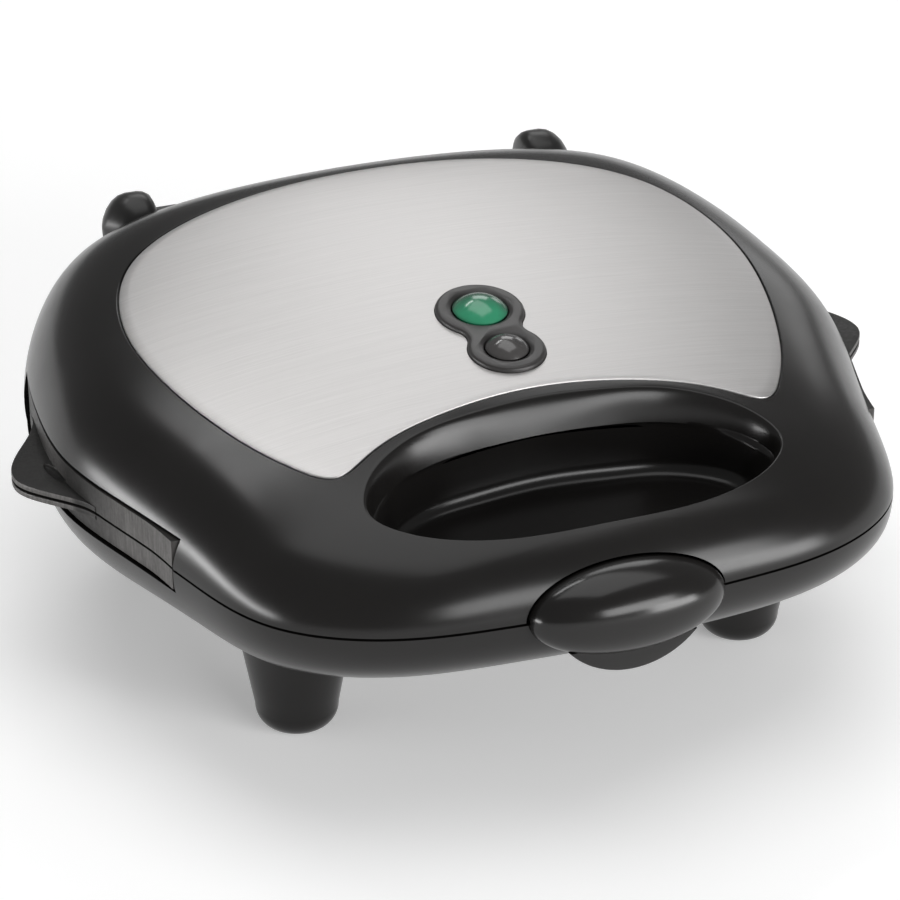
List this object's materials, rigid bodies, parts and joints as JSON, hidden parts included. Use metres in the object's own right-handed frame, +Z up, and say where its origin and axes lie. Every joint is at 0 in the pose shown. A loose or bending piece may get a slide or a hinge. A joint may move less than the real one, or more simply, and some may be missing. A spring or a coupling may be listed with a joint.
{
  "type": "sandwich toaster",
  "caption": "Sandwich toaster: glossy black covers, hinged lid with a brushed metal panel and finger well, lift-out plates with side ears, front latch, tall feet.",
  "frame": {"origin": "on the table surface, under the middle of the object's box", "axes": "+X to the right from plate ear to plate ear, +Y from the latch to the hinge, +Z up"},
  "size_m": [0.2762, 0.2526, 0.1117],
  "materials": {
    "cover_gloss": "gloss",
    "frame_plastic": "satin",
    "panel_steel": "brushed",
    "bezel_grey": "satin",
    "lens_green": "gloss",
    "lens_smoke": "gloss",
    "lamp_glass": "clear",
    "cast_plate": "non-stick coating",
    "element_steel": "dull",
    "reflector_tin": "bright",
    "spring_zinc": "zinc plated",
    "ceramic": "matt",
    "stud_brass": "satin",
    "pin_steel": "satin",
    "foot_rubber": "matt"
  },
  "bodies": {
    "base": {"lower_cover": "cover_gloss", "lower_frame": "frame_plastic", "lower_plate": "cast_plate", "lower_element": "element_steel", "lower_reflector": "reflector_tin", "lower_clips": "spring_zinc", "lower_terminal": "ceramic", "lower_studs": "stud_brass", "thermostat": "ceramic", "base_screws": "spring_zinc", "foot_pads": "foot_rubber", "hinge_pin_left": "pin_steel", "hinge_pin_right": "pin_steel", "cord_gland": "frame_plastic"},
    "lid": {"upper_cover": "cover_gloss", "top_panel": "panel_steel", "light_bezel": "bezel_grey", "ready_lens": "lens_green", "power_lens": "lens_smoke", "indicator_lamps": "lamp_glass", "upper_frame": "frame_plastic", "upper_plate": "cast_plate", "upper_element": "element_steel", "upper_reflector": "reflector_tin", "upper_clips": "spring_zinc", "upper_terminal": "ceramic", "upper_studs": "stud_brass", "thermal_fuse": "reflector_tin", "lid_screws": "spring_zinc", "latch_pin": "pin_steel", "latch_spring": "pin_steel"},
    "latch": {"latch": "cover_gloss"}
  },
  "joints": [
    {"name": "lid_hinge", "type": "hinge", "parent": "base", "child": "lid", "pos_m": [0, 0.113, 0.094], "axis": [-1, 0, 0], "range_deg": [0, 100]},
    {"name": "latch_pivot", "type": "hinge", "parent": "lid", "child": "latch", "pos_m": [0, -0.112, 0.0675], "axis": [-1, 0, 0], "range_deg": [0, 14], "stiffness_Nm_per_rad": 0.12, "springref_deg": -28.65}
  ]
}
